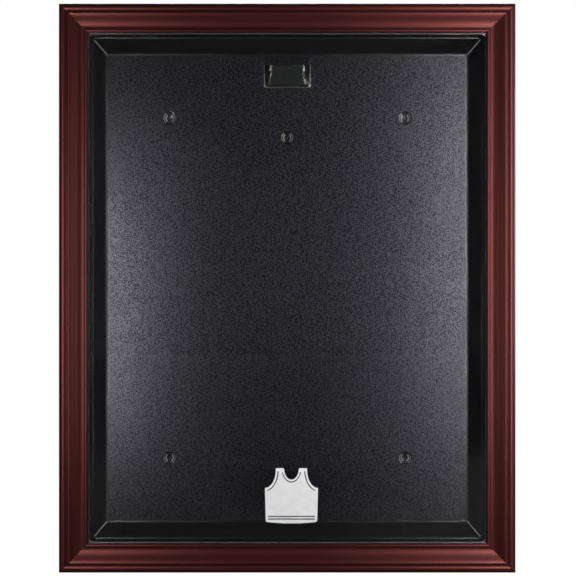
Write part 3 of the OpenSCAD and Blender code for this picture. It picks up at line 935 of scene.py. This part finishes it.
def catch_lugs():
    shape = bmesh.new()
    plate_low, plate_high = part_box("strike_plate_upper")
    root = TRAY_HALF_W - 1 * MM
    front = plate_high.y
    for sign in (-1, 1):
        z = sign * (plate_low.z + plate_high.z) / 2
        shelf = [(root, front), (tray_high.x, front), (tray_high.x, front + LUG_T), (root, front + LUG_T)]
        rib = [
            (root, front + 1 * MM), (tray_high.x - 3 * MM, front + 1 * MM),
            (tray_high.x - 3 * MM, front + LUG_T + 1 * MM), (root, LEDGE_Y + 2 * MM),
        ]
        for outline, low, high in (
            (shelf, z - LUG_HALF_L, z + LUG_HALF_L),
            (rib, z - LUG_HALF_L, z - LUG_HALF_L + RIB_T),
            (rib, z + LUG_HALF_L - RIB_T, z + LUG_HALF_L),
        ):
            one = bmesh.new()
            prism(one, outline, low, high)
            bmesh.ops.recalc_face_normals(one, faces=one.faces)
            bmesh.ops.bevel(
                one, geom=one.edges[:], offset=0.35 * MM, segments=2, profile=0.5, affect="EDGES"
            )
            bit = bpy.data.meshes.new("bit")
            one.to_mesh(bit)
            one.free()
            shape.from_mesh(bit)
            bpy.data.meshes.remove(bit)
    return settle("catch_lugs", shape, [TRAY_SMOOTH])


combine(tray, catch_lugs(), "UNION", overlapping=True)
shade(tray.data, 50)
place(tray, "tray", "black_tray_plastic", "backing_tray")

# %% [markdown]
# ## The clear panel and its strips
# The panel is a sawn and polished sheet, so its edges are eased a little. The strips behind it are pushed
# in afterwards to stop it rattling. Plain boxes would look too perfect, so both are made with rounded
# edges.

# %% Boxes with eased edges
def eased_box(shape, low, high, ease):
    made = bmesh.ops.create_cube(shape, size=1.0)["verts"]
    for vert in made:
        vert.co = Vector([(a + b) / 2 + c * (b - a) for a, b, c in zip(low, high, vert.co)])
    edges = list({edge for vert in made for edge in vert.link_edges})
    bmesh.ops.bevel(shape, geom=edges, offset=ease, segments=3, profile=0.5, affect="EDGES")


def eased_piece(name, node, material, ease):
    shape = bmesh.new()
    eased_box(shape, *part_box(node), ease)
    return level(settle(name, shape, [material], 50))


panel = eased_piece("acrylic_panel", "clear_panel", ACRYLIC, 0.35 * MM)
place(panel, "door", "clear_acrylic", "clear_panel")
for side in ("left", "right", "top", "bottom"):
    node = "glazing_strip_" + side
    place(eased_piece(node + "_eased", node, STRIP_BLACK, 0.6 * MM), "door", "black_strip_plastic", node)

# %% [markdown]
# ## The emblem
# The mark is printed on the front of the panel in white ink. It is a plain sleeveless jersey, and the gaps
# in the ink stand for its bindings and hem stripes. A 2D curve suits it: each closed outline inside
# another makes a hole, and a small extrusion gives the film its thickness.

# %% Draw the emblem
emblem_low, emblem_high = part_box("printed_emblem")
EMBLEM_W = emblem_high.x - emblem_low.x
EMBLEM_MIDDLE = (emblem_low + emblem_high) / 2


def sweep(centre, across, up, start, end, steps=20):
    angles = [math.radians(start + (end - start) * i / steps) for i in range(steps + 1)]
    return [(centre[0] + across * math.cos(a), centre[1] + up * math.sin(a)) for a in angles]


def mirrored(right_half):
    return right_half + [(-x, y) for x, y in reversed(right_half) if x > 1e-6]


def jersey_outline():
    neck = sweep((0.0, 0.52), 0.14, 0.21, -90, -4)
    armhole = sweep((0.51, 0.50), 0.21, 0.35, 176, 270)
    hem = [(0.495, -0.46), (0.49, -0.49), (0.46, -0.505), (0.3, -0.52), (0.15, -0.528)]
    return mirrored(neck + [(0.155, 0.53), (0.285, 0.53)] + armhole + hem)


def jersey_gaps():
    neck = (0.0, 0.52)
    neck_gap = sweep(neck, 0.19, 0.265, -165, -15) + sweep(neck, 0.172, 0.245, -15, -165)
    armhole = (0.51, 0.50)
    armhole_gap = sweep(armhole, 0.245, 0.395, 184, 258) + sweep(armhole, 0.265, 0.415, 258, 184)
    other_armhole_gap = [(-x, y) for x, y in armhole_gap]
    stripes = [
        [(-0.45, z), (0.45, z), (0.45, z - 0.022), (-0.45, z - 0.022)] for z in (-0.385, -0.435)
    ]
    return [neck_gap, armhole_gap, other_armhole_gap, *stripes]


def emblem():
    curve = bpy.data.curves.new("jersey_emblem", "CURVE")
    curve.dimensions = "2D"
    curve.fill_mode = "BOTH"
    curve.extrude = (emblem_high.y - emblem_low.y) / 2
    for outline in [jersey_outline(), *jersey_gaps()]:
        spline = curve.splines.new("POLY")
        spline.points.add(len(outline) - 1)
        spline.use_cyclic_u = True
        for point, (x, y) in zip(spline.points, outline):
            point.co = (x * EMBLEM_W, y * EMBLEM_W, 0.0, 1.0)
    thing = bpy.data.objects.new("emblem_curve", curve)
    bpy.context.scene.collection.objects.link(thing)
    mesh = bpy.data.meshes.new_from_object(thing.evaluated_get(bpy.context.evaluated_depsgraph_get()))
    discard(thing)
    shape = bmesh.new()
    shape.from_mesh(mesh)
    for vert in shape.verts:
        x, y, z = vert.co
        vert.co = Vector((EMBLEM_MIDDLE.x + x, EMBLEM_MIDDLE.y - z, EMBLEM_MIDDLE.z + y))
    bmesh.ops.remove_doubles(shape, verts=shape.verts, dist=1e-6)
    bmesh.ops.recalc_face_normals(shape, faces=shape.faces)
    return settle("jersey_emblem", shape, [INK])


place(emblem(), "door", "white_print", "printed_emblem")

# %% [markdown]
# ## Brads and screws
# Brads and hinge screws come in rows of the same thing. One fixing is modelled at the
# origin, pointing the way it is driven, and one tree sets it out from the first place to the last. Nobody
# lines up screw slots, so each one also gets its own twist from a seed.

# %% The row tree
def row_of_fixings():
    tree, start, end = new_tree(
        "Row of fixings", "GeometryNodeTree",
        [
            ("Fixing", "NodeSocketGeometry"), ("First", "NodeSocketVector"), ("Last", "NodeSocketVector"),
            ("Count", "NodeSocketInt"), ("Most twist", "NodeSocketVector"), ("Seed", "NodeSocketInt"),
            ("Finish", "NodeSocketMaterial"),
        ],
        [("Geometry", "NodeSocketGeometry")],
    )
    given = start.outputs
    line = add(
        tree, "GeometryNodeMeshLine",
        {"Count": given["Count"], "Start Location": given["First"], "Offset": given["Last"]},
        mode="END_POINTS",
    )
    twist = add(
        tree, "FunctionNodeRandomValue",
        {"Min": (0.0, 0.0, 0.0), "Max": given["Most twist"], "Seed": given["Seed"]},
        data_type="FLOAT_VECTOR",
    )
    set_out = add(
        tree, "GeometryNodeInstanceOnPoints",
        {"Points": line.outputs[0], "Instance": given["Fixing"], "Rotation": twist.outputs["Value"]},
    )
    real = add(tree, "GeometryNodeRealizeInstances", {"Geometry": set_out.outputs[0]})
    finished = add(
        tree, "GeometryNodeSetMaterial", {"Geometry": real.outputs[0], "Material": given["Finish"]}
    )
    tree.links.new(finished.outputs[0], end.inputs[0])
    return tree


ROW_OF_FIXINGS = row_of_fixings()
print("geometry tree:", ROW_OF_FIXINGS.name)

# %% [markdown]
# A fixing is turned from its outline, which is a list of radii and distances along its length. `aim` lays
# the length along X or Y. A screw's head also has a cross pressed into it, cut with a Boolean.

# %% Turn a fixing
ALONG_X = Vector((1.0, 0.0, 0.0))
ALONG_Y = Vector((0.0, 1.0, 0.0))
ALONG_Z = Vector((0.0, 0.0, 1.0))


def aim(point, direction):
    spin = ALONG_Z.rotation_difference(direction)
    return spin @ Vector(point)


def turned_fixing(name, outline, direction, material, segments=28):
    shape = bmesh.new()
    rings = []
    angles = [2 * math.pi * i / segments for i in range(segments)]
    for radius, along in outline:
        ring = [(radius * math.cos(a), radius * math.sin(a), along) for a in angles]
        rings.append([shape.verts.new(aim(point, direction)) for point in ring])
    for ring, following in zip(rings, rings[1:]):
        for i in range(segments):
            j = (i + 1) % segments
            shape.faces.new((ring[i], ring[j], following[j], following[i]))
    shape.faces.new(rings[0][::-1])
    shape.faces.new(rings[-1])
    bmesh.ops.recalc_face_normals(shape, faces=shape.faces)
    return settle(name, shape, [material], 40)


RECESS_TAPER = 0.55


def cross_recess(size, depth, direction, material):
    shape = bmesh.new()
    narrow = 0.22 * size
    for half_x, half_y in ((size, narrow), (narrow, size)):
        made = bmesh.ops.create_cube(shape, size=1.0)["verts"]
        for vert in made:
            deep = vert.co.z > 0
            span = 2 * (RECESS_TAPER if deep else 1.0)
            point = (half_x * span * vert.co.x, half_y * span * vert.co.y, depth if deep else -depth)
            vert.co = aim(point, direction)
    return settle("cross_recess", shape, [material])


def pan_screw(name, head_r, head_h, shank_r, length, direction, material):
    dome = [(head_r * math.sin(a), head_h * (1 - math.cos(a))) for a in
            [math.radians(12 * step) for step in range(1, 8)]]
    outline = [
        *[(r, along) for r, along in dome], (head_r, head_h), (shank_r, head_h),
        (shank_r, head_h + 0.8 * (length - head_h)), (0.35 * shank_r, length),
    ]
    screw = turned_fixing(name, outline, direction, material)
    recess = cross_recess(0.6 * head_r, 0.5 * head_h, direction, material)
    combine(screw, recess, overlapping=True)
    return screw


def copy_of(thing):
    twin = bpy.data.objects.new(thing.name, thing.data.copy())
    bpy.context.scene.collection.objects.link(twin)
    return twin


def merge(name, things, material):
    shape = bmesh.new()
    for thing in things:
        shape.from_mesh(thing.data)
        discard(thing)
    return settle(name, shape, [material], 40)


def set_out(fixing, first, last, count, twist, seed, material):
    row = copy_of(fixing)
    grow(row, ROW_OF_FIXINGS, {
        "First": first, "Last": last, "Count": count, "Most twist": twist, "Seed": seed, "Finish": material,
    })
    return row

# %% Brads along the four strips
BRAD_Y = FRAME_Y - 3 * MM
BRAD_IN = 0.25 * MM
BRAD_OUTLINE = [(0.7 * MM, 0.0), (1.05 * MM, 0.12 * MM), (1.05 * MM, 0.45 * MM), (0.58 * MM, 0.5 * MM),
                (0.58 * MM, 17.0 * MM), (0.2 * MM, 18.2 * MM)]


STRIP_W = 6 * MM
UPRIGHT_SHARE, LEVEL_SHARE = 0.88, 0.84


def brads():
    strip_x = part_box("glazing_strip_right")[0].x
    strip_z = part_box("glazing_strip_top")[0].z
    half_row_z = UPRIGHT_SHARE * (strip_z + STRIP_W)
    half_row_x = LEVEL_SHARE * (strip_x + STRIP_W)
    rows = []
    for seed, (direction, at, count) in enumerate((
        (ALONG_X, strip_x, 6), (-ALONG_X, strip_x, 6), (ALONG_Z, strip_z, 5), (-ALONG_Z, strip_z, 5),
    )):
        brad = turned_fixing("brad", BRAD_OUTLINE, direction, ZINC, 14)
        reach = direction * (at - BRAD_IN)
        along = Vector((half_row_x, 0, 0)) if direction.z else Vector((0, 0, half_row_z))
        middle = Vector((reach.x, BRAD_Y, reach.z))
        rows.append(set_out(brad, middle - along, middle + along, count, (0.0, 0.0, 0.0), seed, ZINC))
        discard(brad)
    print(f"brad rows are {2 * half_row_z:.3f} long up the sides and {2 * half_row_x:.3f} along the ends")
    return merge("brads", rows, ZINC)


place(brads(), "door", "zinc_steel", "glazing_brads")

# %% Hinge screws
HINGE_Z = 140 * MM
SCREW_PITCH = 32 * MM


def hinge_screws(node, direction, twist, finish):
    low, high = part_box(node)
    head_h, head_r = 1.3 * MM, 2.6 * MM
    length = (high - low).dot(direction) if direction.x > 0 else (high - low).y
    screw = pan_screw(node + "_one", head_r, head_h, 1.35 * MM, length, direction, finish)
    rows = []
    for seed, z in enumerate((-HINGE_Z, HINGE_Z)):
        middle = (low + high) / 2
        head = low.copy() if direction.x > 0 else high.copy()
        at = Vector((head.x, middle.y, z)) if direction.x > 0 else Vector((middle.x, head.y, z))
        half = Vector((0.0, 0.0, SCREW_PITCH / 2))
        rows.append(set_out(screw, at - half, at + half, 2, twist, seed + 3, finish))
    discard(screw)
    return merge(node + "_made", rows, finish)


place(hinge_screws("tray_leaf_screws", ALONG_X, (math.pi, 0.0, 0.0), BLACK_PLATE),
      "tray", "black_steel", "tray_leaf_screws")
place(hinge_screws("door_leaf_screws", -ALONG_Y, (0.0, math.pi, 0.0), ZINC),
      "door", "zinc_steel", "door_leaf_screws")

# %% [markdown]
# ## The other small metal parts
# The leaves, pins, V-nails, magnets, plates and rivets are pressed or sawn parts whose shapes the design
# already has. Each is taken as a merged copy, its flats are joined up, and its edges are given the small
# round that pressing leaves. The copy replaces the design's own mesh, which isn't touched.

# %% Soften copies of the design's parts
def softened(node, material, ease):
    shape = bmesh.new()
    shape.from_mesh(frame["nodes"][node].data)
    bmesh.ops.remove_doubles(shape, verts=shape.verts, dist=1e-5)
    bmesh.ops.dissolve_limit(shape, angle_limit=math.radians(1.0), verts=shape.verts, edges=shape.edges)
    creases = [edge for edge in shape.edges if len(edge.link_faces) == 2 and edge.calc_face_angle() > 0.6]
    bmesh.ops.bevel(
        shape, geom=creases, offset=ease, segments=2, profile=0.5, affect="EDGES", clamp_overlap=True,
    )
    bmesh.ops.recalc_face_normals(shape, faces=shape.faces)
    return level(settle(node + "_softened", shape, [material], 40))


SOFTENED = [
    ("tray_leaf_upper", "tray", "black_steel", BLACK_PLATE, 0.15 * MM),
    ("tray_leaf_lower", "tray", "black_steel", BLACK_PLATE, 0.15 * MM),
    ("door_leaf_upper", "door", "black_steel", BLACK_PLATE, 0.15 * MM),
    ("door_leaf_lower", "door", "black_steel", BLACK_PLATE, 0.15 * MM),
    ("hinge_pin_upper", "tray", "zinc_steel", ZINC, 0.2 * MM),
    ("hinge_pin_lower", "tray", "zinc_steel", ZINC, 0.2 * MM),
    ("catch_magnet_upper", "door", "zinc_steel", ZINC, 0.3 * MM),
    ("catch_magnet_lower", "door", "zinc_steel", ZINC, 0.3 * MM),
    ("strike_plate_upper", "tray", "zinc_steel", ZINC, 0.12 * MM),
    ("strike_plate_lower", "tray", "zinc_steel", ZINC, 0.12 * MM),
    ("strike_rivets", "tray", "zinc_steel", ZINC, 0.2 * MM),
    ("corner_v_nails", "door", "zinc_steel", ZINC, 0.06 * MM),
]
for node, body, slot, finish, ease in SOFTENED:
    place(softened(node, finish, ease), body, slot, node)

# %% [markdown]
# ## The camera, the room and the lights
# The case hangs with its middle at eye height and is seen squarely from the front, from about twice its
# width away. Two tall softboxes stand to the right and the left in front of it, and the right one is
# stronger. The two lights behind the wall's plane are for an open door and for the back. They only graze
# the outer edge of the closed front.

# %% The camera
EYE = Vector((0.0015, -1.751, 0.0002))
camera_data = bpy.data.cameras.new("camera")
camera_data.sensor_width = 36.0
camera_data.lens = 56.1
camera = bpy.data.objects.new("camera", camera_data)
camera.location = EYE
print(f"camera {-EYE.y:.3f} in front of the wall with a {camera_data.lens} mm lens")
camera.rotation_euler = (math.radians(90), 0.0, 0.0)
bpy.context.scene.collection.objects.link(camera)
bpy.context.scene.camera = camera

# %% The lights
def softbox(name, at, towards, width, height, watts, spread):
    light = bpy.data.lights.new(name, "AREA")
    light.shape = "RECTANGLE"
    light.size = width
    light.size_y = height
    light.energy = watts
    light.spread = math.radians(spread)
    thing = bpy.data.objects.new(name, light)
    thing.location = at
    thing.rotation_euler = (Vector(towards) - Vector(at)).to_track_quat("-Z", "Y").to_euler()
    bpy.context.scene.collection.objects.link(thing)


softbox("right_softbox", (0.91, -1.75, 0.06), (0.84, 0.0, 0.04), 0.24, 1.70, 16.5, 78)
softbox("left_softbox", (-0.91, -1.75, -0.14), (-0.84, 0.0, -0.12), 0.24, 1.30, 8.8, 78)
softbox("side_fill", (2.40, -1.50, 0.20), (-0.30, 0.0, 0.0), 0.60, 1.20, 5.0, 120)
softbox("door_fill", (2.60, 0.60, 0.30), (-0.40, -0.50, 0.0), 1.0, 1.2, 4.0, 70)
softbox("rear_softbox", (0.0, 2.2, 1.6), (0.0, 0.0, 0.0), 2.2, 1.4, 100.0, 180)
print(len(bpy.data.lights), "softboxes")

# %% [markdown]
# The room is white to the eye but dim as a light, so that the softboxes do the shaping. `seen_by_eye`
# tells the two apart by the kind of ray that asks, and by whether the ray has been mirrored on its way.
# The floor asks the same.

# %% The world
def seen_by_eye(tree):
    path = tree.nodes.new("ShaderNodeLightPath")
    unmirrored = add(
        tree, "ShaderNodeMath", {0: 0.5, 1: path.outputs["Glossy Depth"]}, operation="GREATER_THAN"
    )
    through = add(
        tree, "ShaderNodeMath",
        {0: path.outputs["Is Transmission Ray"], 1: unmirrored.outputs[0]}, operation="MULTIPLY",
    )
    seen = add(
        tree, "ShaderNodeMath", {0: path.outputs["Is Camera Ray"], 1: through.outputs[0]}, operation="MAXIMUM"
    )
    return seen.outputs[0]


def studio():
    world = bpy.data.worlds.new("studio")
    bpy.context.scene.world = world
    world.use_nodes = True
    tree = world.node_tree
    tree.nodes.clear()
    dim = add(tree, "ShaderNodeBackground", {"Color": (1.0, 1.0, 1.0, 1.0), "Strength": 0.018})
    white = add(tree, "ShaderNodeBackground", {"Color": (1.0, 1.0, 1.0, 1.0), "Strength": 1.0})
    mix = add(tree, "ShaderNodeMixShader", {0: seen_by_eye(tree), 1: dim.outputs[0], 2: white.outputs[0]})
    output = tree.nodes.new("ShaderNodeOutputWorld")
    tree.links.new(mix.outputs[0], output.inputs["Surface"])


studio()
bpy.context.scene.view_settings.view_transform = "Standard"
print("world:", bpy.context.scene.world.name)

# %% [markdown]
# The floor is pale to the eye as well, and dim in reflections. A dark card behind the tray is painted shade:
# it stands for the shade on a wall behind the case, so that the room doesn't show through the screw holes.
# It's seen from the front only, so that the tray's back can be looked at, and it lets the rear light through.

# %% The floor and the card
def pale_floor():
    material, tree, surface = shader("pale_floor", (0.02, 0.02, 0.02), Roughness=0.95)
    surface.inputs["Emission Color"].default_value = (1.0, 1.0, 1.0, 1.0)
    tree.links.new(seen_by_eye(tree), surface.inputs["Emission Strength"])
    return material


# Painted shade: a dark card that stands for the shade on a wall behind the case.
def one_way_shade_card():
    material, tree, surface = shader("painted_wall_shade", (0.012, 0.012, 0.012), Roughness=0.95)
    path = tree.nodes.new("ShaderNodeLightPath")
    side = tree.nodes.new("ShaderNodeNewGeometry")
    clear = tree.nodes.new("ShaderNodeBsdfTransparent")
    either = add(
        tree, "ShaderNodeMath",
        {0: side.outputs["Backfacing"], 1: path.outputs["Is Shadow Ray"]}, operation="MAXIMUM",
    )
    mix = add(
        tree, "ShaderNodeMixShader", {0: either.outputs[0], 1: surface.outputs[0], 2: clear.outputs[0]}
    )
    tree.links.new(mix.outputs[0], tree.nodes["Material Output"].inputs["Surface"])
    return material


def stage_plane(name, corners, material):
    shape = bmesh.new()
    shape.faces.new([shape.verts.new(corner) for corner in corners])
    settle(name, shape, [material])


FAR = 6.0
FLOOR_Z = cad_box[0].z - 30 * MM
CARD_Y = 0.5 * MM
CARD_W, CARD_H = SHEET_HALF_W - 20 * MM, SHEET_HALF_H - 20 * MM
floor_corners = [(-FAR, -FAR, FLOOR_Z), (FAR, -FAR, FLOOR_Z), (FAR, FAR, FLOOR_Z), (-FAR, FAR, FLOOR_Z)]
stage_plane("floor", floor_corners, pale_floor())
card_corners = [(sx * CARD_W, CARD_Y, sz * CARD_H) for sx, sz in ((-1, -1), (1, -1), (1, 1), (-1, 1))]
stage_plane("card", card_corners, one_way_shade_card())

# %% [markdown]
# ## The size of the design
# The made pieces have to stay inside the design's box, so the design's box is printed.

# %% Print the design's box
print("cad box", [tuple(round(v, 4) for v in c) for c in cad_box])
